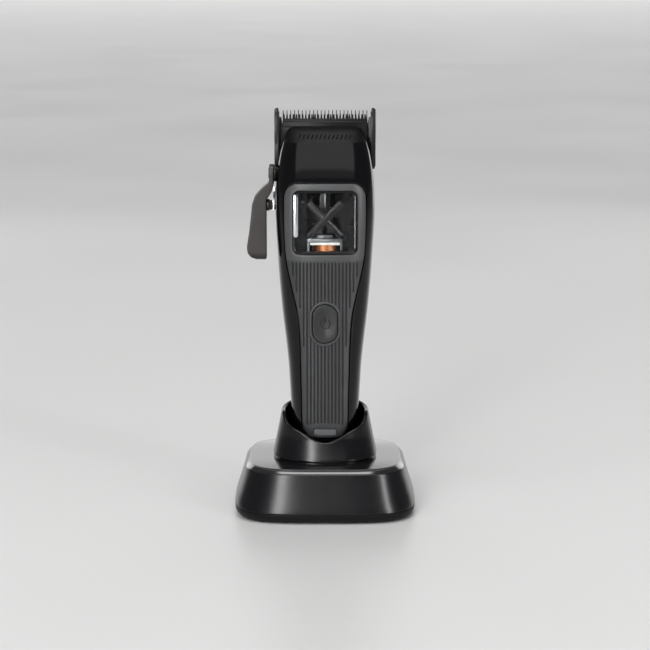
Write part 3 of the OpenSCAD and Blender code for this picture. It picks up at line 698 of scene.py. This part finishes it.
def make_rear_shell():
    rear_top = 158
    outer_z = FOOT_Z + span(45, rear_top - 0.5, 1.8) + [rear_top]
    inner_z = span(rear_top, END_Z + WALL, 4)
    shell = half_shell("rear_housing", 1, outer_z, inner_z, False)
    cutters = [rod_x("bush_hole", HUB_Y, HUB_Z, 3.45, -30, -15)]
    for x, z in SCREWS:
        cutters.append(rod_y("screw_hole", x, z, 2.3, 7.8, 30))
    tubes = []
    for x, z in SCREWS:
        well = rod_y("screw_well", x, z, 3.2, PARTING, 11)
        combine(well, [rod_y("bore", x, z, 1.4, -1, 9), rod_y("counterbore", x, z, 2.3, 7.8, 30)])
        tubes.append(well)
    combine(shell, cutters)
    combine(shell, [joined(tubes)], "UNION")
    place(shell, "clipper", "gloss_black", ["rear_shell"], angle=28)


def grooves():
    """The grip's grooves: they end on an arc above the status light and beside the edge."""
    made = []
    for k in range(-10, 11):
        x = k * RIB_PITCH
        low = 42.6 - 1.6 * (k / 6) ** 2
        while low < RIB_TOP and panel_half(low) < abs(x) + PANEL_MARGIN:
            low += 0.4
        if low > RIB_TOP - 4:
            continue
        heights = [low, low + 0.1, low + 0.3] + span(low + 0.6, RIB_TOP - 0.6, 2.4)
        heights += [RIB_TOP - 0.3, RIB_TOP - 0.1, RIB_TOP]
        made.append([(x, z) for z in heights])
    return [joined([tube("groove", [(x, front(x, z) + deep, z) for x, z in line], r) for line in made])
            for deep, r in ((0.05, 0.42), (0.5, 0.4))]


def make_panel():
    layers = [(grow(PANEL_LINE, -a), h) for a, h in
              ((0, -RECESS + 0.05), (0, -0.55), (0.05, -0.3), (0.18, -0.1), (0.36, -0.02), (0.6, 0))]
    panel = stack("grip_skin", layers, front, spacing=1.5)
    combine(panel, grooves())
    pad_layers = [(grow(BUTTON_LINE, 0.25 + a), h) for a, h in
                  ((1.35, -1.0), (1.35, 0.0), (1.28, 0.14), (1.1, 0.26), (0.85, 0.33), (0.6, 0.35))]
    combine(panel, [stack("pad", pad_layers, front, spacing=1.2)], "UNION")
    combine(panel, [
        pocket("window_rim", WINDOW_LINE, 3, 0, 0.8, through=True),
        pocket("button_rim", BUTTON_LINE, 3, 0.25, 0.3, through=True),
        pocket("light_rim", LIGHT_LINE, 3, 0.15, 0.2, through=True),
    ])
    # The window frame is cut off to take a lighter copy of the grip's matte: painted sheen on the
    # frame.
    surround = cut_off(panel, RIB_TOP + 0.9, "window_frame")
    place(surround, "clipper", "frame_satin_painted_sheen", ["grip_panel"], angle=28)
    place(panel, "clipper", "grip_matte", ["grip_panel"], angle=28)


def make_button():
    """A dished button with a power sign cut into its face."""
    rim_y = button_low.y
    half = (BUTTON_SIZE[0] / 2, BUTTON_SIZE[1] / 2)

    def dish(x, z):
        q = math.hypot(x / half[0], (z - BUTTON_MID.z) / half[1]) / 0.9
        return -0.95 * smooth(1 - q)

    layers = [(grow(BUTTON_LINE, -a), h) for a, h in
              ((0, -2.4), (0, -0.45), (0.05, -0.22), (0.16, -0.08), (0.32, -0.01), (0.5, 0))]
    button = stack("button_cap", layers, lambda x, z: rim_y, dish, spacing=0.7)
    stem = rod_y("stem", 0, BUTTON_MID.z, 2, rim_y + 2.2, button_high.y)
    combine(button, [stem], "UNION")
    arc = []
    for i in range(29):
        a = math.radians(125 + 290 * i / 28)
        arc.append((2.3 * math.cos(a), 2.3 * math.sin(a)))
    bar = [(0, 0.4 + 0.36 * i) for i in range(9)]
    signs = []
    for line in (arc, bar):
        path = [(x, rim_y - dish(x, BUTTON_MID.z + z), BUTTON_MID.z + z) for x, z in line]
        signs.append(tube("sign", path, 0.3))
    combine(button, [joined(signs)])
    place(button, "power_button", "button_matte", ["power_button"], angle=28)


def make_status_light():
    def face(x, z):
        return front(x, LIGHT_MID.z + 0.6 * (z - LIGHT_MID.z)) + 0.12

    layers = [(LIGHT_LINE, -5.5)] + [(grow(LIGHT_LINE, -a), h) for a, h in
                                     ((0, -0.3), (0.06, -0.12), (0.2, -0.02), (0.4, 0))]
    light = stack("light_bar", layers, face, spacing=0.8)
    place(light, "clipper", "light_guide", ["status_light"])


def make_lens():
    """The window's lens: flat behind, very slightly crowned in front. The crown isn't zero on its
    outline, so the front face isn't joined to the side."""
    low, high = node_mm("window_lens")
    line = rounded_rect((high.x - low.x, high.z - low.z), 1.9, (0, (low.z + high.z) / 2), 96)
    half = (high.x - low.x) / 2

    def face(x, z):
        return low.y

    def crown(x, z):
        return 0.25 * (1 - (x / half) ** 2) * 0.4

    layers = [(line, low.y - high.y), (line, -0.25), (grow(line, -0.1), -0.08), (grow(line, -0.25), 0)]
    lens = stack("window_glass", layers, face, crown, spacing=1.4)
    place(lens, "clipper", "clear_lens", ["window_lens"])


def make_bezel():
    """The window's dark inner frame: its face slopes in to the lens."""
    face, back = bezel_low.y, bezel_high.y
    width, height = bezel_high.x - bezel_low.x, bezel_high.z - bezel_low.z
    rings = []
    for inset, y in ((0, back), (0, face + 0.2), (0.05, face + 0.05), (0.14, face), (1.0, face + 0.35),
                     (1.12, face + 0.44), (1.18, face + 0.6), (1.18, back)):
        line = rounded_rect((width - 2 * inset, height - 2 * inset), 2.85 - inset, (0, WINDOW_MID.z))
        rings.append([(p.x, y, p.y) for p in line])
    bezel = loft("window_surround", rings, closed_path=True)
    place(bezel, "clipper", "dark_plastic", ["window_bezel"])


def make_glint_strips():
    """Painted reflections: bright polished strips just in front of the bezel at the window's sides, a
    wide one on the left, put where the window's side walls glint.
    """
    top = bezel_high.z - 1.6
    strips = []
    for x, half, length in ((-13.3, 1.05, 19.5), (13.6, 0.14, 25)):
        line = rounded_rect((2 * half, length), 0.8 * half, (x, top - length / 2), 48)
        strips.append(prism("window_liner", line, bezel_low.y - 0.5, bezel_low.y - 0.1))
    # These strips are a painted reflection: bright steel where the window's side walls show a glint.
    place(bevel(joined(strips), 0.06), "clipper", "bright_steel")


# ---------------------------------------------------------------- motor

def make_brace():
    """The crossed brace: two grooved arms over a hub, held by tabs at the sides."""
    low, high = node_mm("motor_brace")
    middle = node_mm("pivot_pin")
    middle = (middle[0].z + middle[1].z) / 2
    half_len = 10.7
    groove = [(-1.4, 1.1), (-1.4, 0.26), (-0.62, 0), (-0.4, 0.4), (0.4, 0.4), (0.62, 0),
              (1.4, 0.26), (1.4, 1.1)]
    arms = []
    for degrees, proud in ((-44, 0.0), (44, 0.3)):
        a = math.radians(degrees)
        rings = []
        for along in (-half_len, half_len):
            rings.append([(u * math.cos(a) - along * math.sin(a), low.y + proud + d,
                           middle + u * math.sin(a) + along * math.cos(a)) for u, d in groove])
        arms.append(loft("brace_arms", rings))
    combine(arms[0], [arms[1]], "UNION")
    combine(arms[0], [rod_y("hub", 0, middle, 2.2, low.y + 0.9, high.y)], "UNION")
    place(bevel(arms[0], 0.05), "clipper", "graphite_steel", ["motor_brace"])
    tabs = []
    for side in (-1, 1):
        corners = [(5.6, 143.6), (11, 143.6), (11, 145.2), (5.6, 145.2)]
        tabs.append(prism("brace_tabs", [(side * x, z) for x, z in corners], low.y + 1.3, high.y))
    place(bevel(joined(tabs), 0.12), "clipper", "motor_black", ["motor_brace"])


def make_spine():
    """A bright stiffening wire along the front of the drive arm."""
    face = node_mm("drive_arm")[0].y
    spine = tube("arm_spine", [(0, face + 3.5, z) for z in span(141.5, 152.4, 0.5)], 0.42, sides=16)
    place(spine, "drive_arm", "bright_steel")


def make_winding():
    """Copper wire in close turns round the bobbin."""
    low, high = node_mm("coil_winding")
    middle_y, outer = (low.y + high.y) / 2, (high.x - low.x) / 2
    wire = 0.19
    turns = int((high.z - low.z) / (2 * wire))
    around = 40
    path = []
    for i in range(turns * around):
        a = 2 * math.pi * i / around
        z = low.z + wire + (high.z - low.z - 2 * wire) * i / (turns * around)
        path.append(((outer - wire) * math.cos(a), middle_y + (outer - wire) * math.sin(a), z))
    winding = tube("winding_wire", path, wire, sides=6)
    rings = []
    for r, z in ((3.4, low.z), (outer - wire, low.z), (outer - wire, high.z), (3.4, high.z)):
        rings.append([(r * math.cos(a), middle_y + r * math.sin(a), z)
                      for a in (2 * math.pi * k / 64 for k in range(64))])
    core = loft("winding_core", rings, closed_path=True)
    place(joined([winding, core]), "clipper", "copper_wire", ["coil_winding"])


# ---------------------------------------------------------------- lever

def make_lever():
    low, high = node_mm("taper_lever")
    line = even([Vector(p) for p in LEVER], 160)
    lever = prism("thumb_lever", line, low.y - 2, high.y + 2)
    side = []
    for i in range(48):
        a = math.radians(360 * i / 48)
        up = math.sin(a) > 0
        side.append((HUB_Y + (4.15 if up else 4.6) * math.cos(a),
                     (HUB_Z if up else 121) + (4.15 if up else 4) * math.sin(a)))
    rings = [[(x, y, z) for y, z in side] for x in (low.x - 1, high.x + 1)]
    combine(lever, [loft("side_form", rings)], "INTERSECT")
    soften(lever, 0.3, 7)
    combine(lever, [
        rod_x("bore", HUB_Y, HUB_Z, 1.5, -40, 0),
        rod_x("seat", HUB_Y, HUB_Z, 2.6, -40, -24.95),
        tube("thumb_line", [(-36.2 + 0.015 * (y + 3) ** 2, y, 124.5) for y in span(-9, 3, 0.6)], 0.3),
    ])
    place(lever, "taper_lever", "lever_satin", ["taper_lever"], angle=40)


# ---------------------------------------------------------------- dock

AROUND = 144


def oval_ring(half, depth, n, z):
    ring = []
    for i in range(AROUND):
        a = 2 * math.pi * i / AROUND
        q = radius(math.cos(a), math.sin(a), half, depth, n)
        ring.append((q * math.cos(a), q * math.sin(a), z))
    return ring


def dock_ring(inset, z):
    return oval_ring(DOCK_HALF[0] - inset, DOCK_HALF[1] - inset, DOCK_N, z)


def wall_ring(z, inset=0.0):
    return dock_ring(inset - curve(DOCK_PROFILE, z)[0], z)


def make_dock_shell():
    """The dock's wall and deck, with a shiny chamfer round the deck and a port in the back."""
    low = 4.88
    plate = (plate_high.x + 0.16, plate_high.y + 0.16)
    rings = [wall_ring(low, 0.12), wall_ring(low + 0.05, 0.05), wall_ring(low + 0.14)]
    rings += [wall_ring(z) for z in span(low + 0.4, 21.6, 1.1)]
    rings += [wall_ring(z) for z in (21.8, 21.95)]
    rings += [dock_ring(5.02 + a, z) for a, z in
              ((0.02, 22.12), (0.14, 22.34), (0.5, 22.72), (1.0, 23.2), (1.5, 23.66), (1.78, 23.9),
               (2.0, 24.06), (2.24, 24.17), (2.4, 24.2))]
    rings += [oval_ring(plate[0] + a, plate[1] + a, DOCK_N, z) for a, z in
              ((0.1, 24.2), (0.03, 24.16), (0, 24.08), (0, DECK_Z - 1.6))]
    rings += [oval_ring(22, 18, 3, z) for z in (DECK_Z - 1.6, DECK_Z - 3.4)]
    rings += [wall_ring(z, 2.2) for z in (DECK_Z - 3.4, 15, 10, low)]
    shell = loft("dock_body", rings, closed_path=True)
    inlet_low, inlet_high = node_mm("dock_inlet")
    middle = (0, (inlet_low.z + inlet_high.z) / 2)
    size = (inlet_high.x - inlet_low.x, inlet_high.z - inlet_low.z)
    hole = grow(rounded_rect(size, 1.6, middle), 0.35)
    flare = ((0, 30), (0, 35.4), (1.2, 36.3), (1.2, 45))
    rim = [[(p.x, y, p.y) for p in grow(hole, g)] for g, y in flare]
    combine(shell, [loft("port", rim)])
    place(cut_off(shell, 22.2, "dock_rim"), "dock", "rim_polish", ["dock_shell"])
    place(shell, "dock", "dock_satin", ["dock_shell"])


def make_top_plate():
    half = (plate_high.x, plate_high.y)
    rings = [oval_ring(half[0] - a, half[1] - a, DOCK_N, z) for a, z in
             ((0, plate_low.z + 0.02), (0, DECK_Z - 0.28), (0.04, DECK_Z - 0.14),
              (0.14, DECK_Z - 0.04), (0.3, DECK_Z))]
    rings += [oval_ring(19.5, 15.5, COLLAR_N, z) for z in (DECK_Z, plate_low.z + 0.02)]
    place(loft("deck_plate", rings, closed_path=True), "dock", "dock_plate", ["dock_top_plate"])


def make_bottom_cover():
    """The base band and floor, with seats for the feet."""
    tiny = 0.02
    rings = [oval_ring(tiny, tiny, 2, 0.6)]
    rings += [wall_ring(0.6, a) for a in (3, 1, 0.5)]
    rings += [wall_ring(z, a) for z, a in ((0.66, 0.2), (0.8, 0.05))]
    rings += [wall_ring(z) for z in span(1, 4.6, 0.45)]
    rings += [wall_ring(z, a) for z, a in ((4.7, 0.04), (4.76, 0.14), (4.76, 5), (3.0, 5))]
    rings.append(oval_ring(tiny, tiny, 2, 3.0))
    cover = loft("base_band", rings)
    cutters = []
    for x in (-28, 28):
        for y in (-24, 24):
            for r, top in ((5.12, 1.6), (2.7, 2.35), (1.5, 6)):
                cutters.append(loft("seat", [[(x + r * math.cos(a), y + r * math.sin(a), z)
                                              for a in (2 * math.pi * k / 48 for k in range(48))]
                                             for z in (-1, top)]))
    combine(cover, cutters)
    place(cover, "dock", "base_matte", ["dock_bottom_cover"])


def lip(a):
    """Height of the collar's lip at an angle: high behind, low in front, with a soft notch."""
    ahead = -math.sin(a)
    height = 46 + 2.5 * max(0.0, -ahead) - 6.2 * smooth((ahead - 0.1) / 0.75)
    if ahead > 0:
        height -= 5.9 * smooth(1 - abs(21.3 * spow(math.cos(a), COLLAR_N)) / 16.3)
    return height


def collar_half(z):
    t = (z - 26) / 20
    foot = 1.1 * smooth((26 - z) / 1.5)
    flare = max(0.0, (35 - z) / 10.6)
    bulge = 0.5 * t * (t - 1) - foot
    return 24.2 - 4 * t + bulge, 19.8 - 1.9 * t + bulge + 2.6 * flare ** 1.2


def spow(v, n):
    return math.copysign(abs(v) ** (2 / n), v)


def make_collar():
    low = DECK_Z + 0.06
    rings = []

    def ring(share, inset, drop=0.0):
        points = []
        for i in range(AROUND):
            a = 2 * math.pi * i / AROUND
            z = low + share * (lip(a) - low) - drop
            half, depth = collar_half(z)
            points.append(((half - inset) * spow(math.cos(a), COLLAR_N),
                           (depth - inset) * spow(math.sin(a), COLLAR_N), z))
        return points

    for share in [0, 0.015, 0.03, 0.05, 0.08, 0.12] + span(0.18, 0.94, 0.07):
        rings.append(ring(share, 0))
    edge = 0.62
    for i in range(11):
        a = math.pi * i / 10
        rings.append(ring(1, COLLAR_WALL / 2 * (1 - math.cos(a)), edge * (1 - math.sin(a))))
    for share in (0.93, 0.75, 0.5, 0.25, 0):
        rings.append(ring(share, COLLAR_WALL))
    place(loft("dock_cup", rings, closed_path=True), "dock", "dock_satin", ["dock_collar"])


# ---------------------------------------------------------------- the rest of the CAD nodes

# How wide an edge is broken on each refined CAD node.
EDGES = {
    "motor_frame": 0.22, "motor_screws": 0.15,
    "stator_yoke": 0.18, "stator_core": 0.15, "coil_bobbin": 0.15, "pivot_pin": 0.2,
    "drive_arm": 0.2, "arm_magnets": 0.12, "drive_tip": 0.2, "cutter_yoke": 0.2,
    "cutter_blade": 0.08, "comb_blade": 0.1, "blade_carrier": 0.2, "blade_screws": 0.18,
    "lever_screw": 0.15, "taper_cam": 0.15, "lever_bush": 0.2, "detent_knob": 0.3,
    "detent_plate": 0.1, "end_cap": 0.25, "housing_screws": 0.15, "contact_block": 0.2,
    "charge_pins": 0.25, "contact_pads": 0.12, "dock_inlet": 0.1, "dock_feet": 0.35,
    "dock_screws": 0.15, "tact_switch": 0.15, "board_chips": 0.12, "battery_cell": 0.8,
    "battery_tabs": 0.08, "main_board": 0.1, "dock_board": 0.1, "dock_ballast": 0.3,
    "battery_cradle": 0.2, "switch_plunger": 0.2, "button_gasket": 0.1,
}

# CAD nodes that get another material than their own slot's.
FINISHES = {"drive_arm": "motor_black", "arm_magnets": "graphite_steel", "cutter_blade": "blade_black",
            "stator_yoke": "plated_steel", "stator_core": "plated_steel"}


def make_refined():
    for node, width in EDGES.items():
        refine(node, width, FINISHES.get(node))
    for node in ("pin_springs", "tension_springs"):
        obj = frame["nodes"][node]
        for place_in_list in obj.material_slots:
            place_in_list.material = MATERIALS["spring_steel"]


# ---------------------------------------------------------------- floor, lights and camera

def make_floor():
    """A pale floor that reaches past the camera's view, with the faintest gloss."""
    material = surface_material("pale_floor", (0.62, 0.615, 0.61), 0.4, grain=60, relief=0.01,
                                shift=0.012, spread=0.03, specular=0.35)
    reach = 9000
    rings = [oval_ring(reach, reach, 2, z) for z in (0, -0.3)]
    floor = loft("floor", rings)
    floor.data.materials.append(material)


def aimed(name, data, at, aim):
    """Puts a lamp at a place, in metres, with its light towards another."""
    light = bpy.data.objects.new(name, data)
    light.location = at
    light.rotation_euler = (Vector(aim) - Vector(at)).to_track_quat("-Z", "Y").to_euler()
    bpy.context.scene.collection.objects.link(light)
    return light


def softbox(name, azimuth, elevation, distance, size, radiance, aim=(0, 0, 0.1)):
    """A rectangular lamp seen from its aim at an azimuth from the front and an elevation."""
    data = bpy.data.lights.new(name, "AREA")
    data.shape = "RECTANGLE"
    data.size, data.size_y = size
    data.energy = math.pi * radiance * size[0] * size[1]
    a, e = math.radians(azimuth), math.radians(elevation)
    way = Vector((math.sin(a) * math.cos(e), -math.cos(a) * math.cos(e), math.sin(e)))
    light = aimed(name, data, Vector(aim) + distance * way, aim)
    light.visible_camera = False
    return light


def make_lights():
    """A soft daylight from the front left, with softboxes for the gloss to reflect. Each tall
    strip at the front lights everything but the pieces listed beside it."""
    sky = bpy.data.lights.new("daylight", "SUN")
    sky.energy = 0.8
    sky.angle = math.radians(40)
    sun = aimed("daylight", sky, (-0.8, -1, 1.3), (0, 0, 0))
    sun.visible_glossy = False
    dock_middle = (0, 0, 0.02)
    strips = {
        softbox("key", -17, 20, 1.2, (0.15, 0.75), 17, dock_middle): ["front_housing"],
        softbox("side", 44, 16, 1.2, (0.1, 0.68), 19, dock_middle): ["front_housing", "dock_cup"],
    }
    softbox("top", 0, 80, 1.35, (0.75, 0.6), 5)
    softbox("front_top", 0, 44, 1.3, (1.3, 0.6), 0.8)
    softbox("front_fade", 0, 40, 1.31, (1.4, 0.75), 0.3)
    softbox("behind", 180, 16, 8.5, (14, 4.8), 1.3)
    for side in (-1, 1):
        softbox("edge", side * 150, 12, 1.1, (0.3, 0.7), 1.0)
    for strip, kept_dark in strips.items():
        shade = bpy.data.collections.new("off_" + strip.name)
        for k, name in enumerate(kept_dark):
            shade.objects.link(bpy.data.objects[name])
            shade.collection_objects[k].light_linking.link_state = "EXCLUDE"
        strip.light_linking.receiver_collection = shade
    world = bpy.data.worlds.new("studio")
    world.use_nodes = True
    world.node_tree.nodes["Background"].inputs["Color"].default_value = (0.95, 0.97, 1, 1)
    world.node_tree.nodes["Background"].inputs["Strength"].default_value = 0.12
    bpy.context.scene.world = world
    bpy.context.scene.view_settings.view_transform = "Standard"


def make_camera():
    elevation = math.radians(10.5)
    distance = 1.0
    aim = Vector((0, 0, 0.0857))
    data = bpy.data.cameras.new("camera")
    data.lens = 119.1
    data.sensor_width = 36
    data.clip_start = 0.02
    data.clip_end = 50
    camera = bpy.data.objects.new("camera", data)
    camera.location = aim + distance * Vector((0, -math.cos(elevation), math.sin(elevation)))
    camera.rotation_euler = (aim - camera.location).to_track_quat("-Z", "Y").to_euler()
    bpy.context.scene.collection.objects.link(camera)
    bpy.context.scene.camera = camera


make_camera()
make_floor()
make_dock_shell()
make_top_plate()
make_bottom_cover()
make_collar()
make_front_shell()
make_rear_shell()
make_panel()
make_button()
make_status_light()
make_lens()
make_bezel()
make_glint_strips()
make_brace()
make_spine()
make_winding()
make_lever()
make_refined()
make_lights()
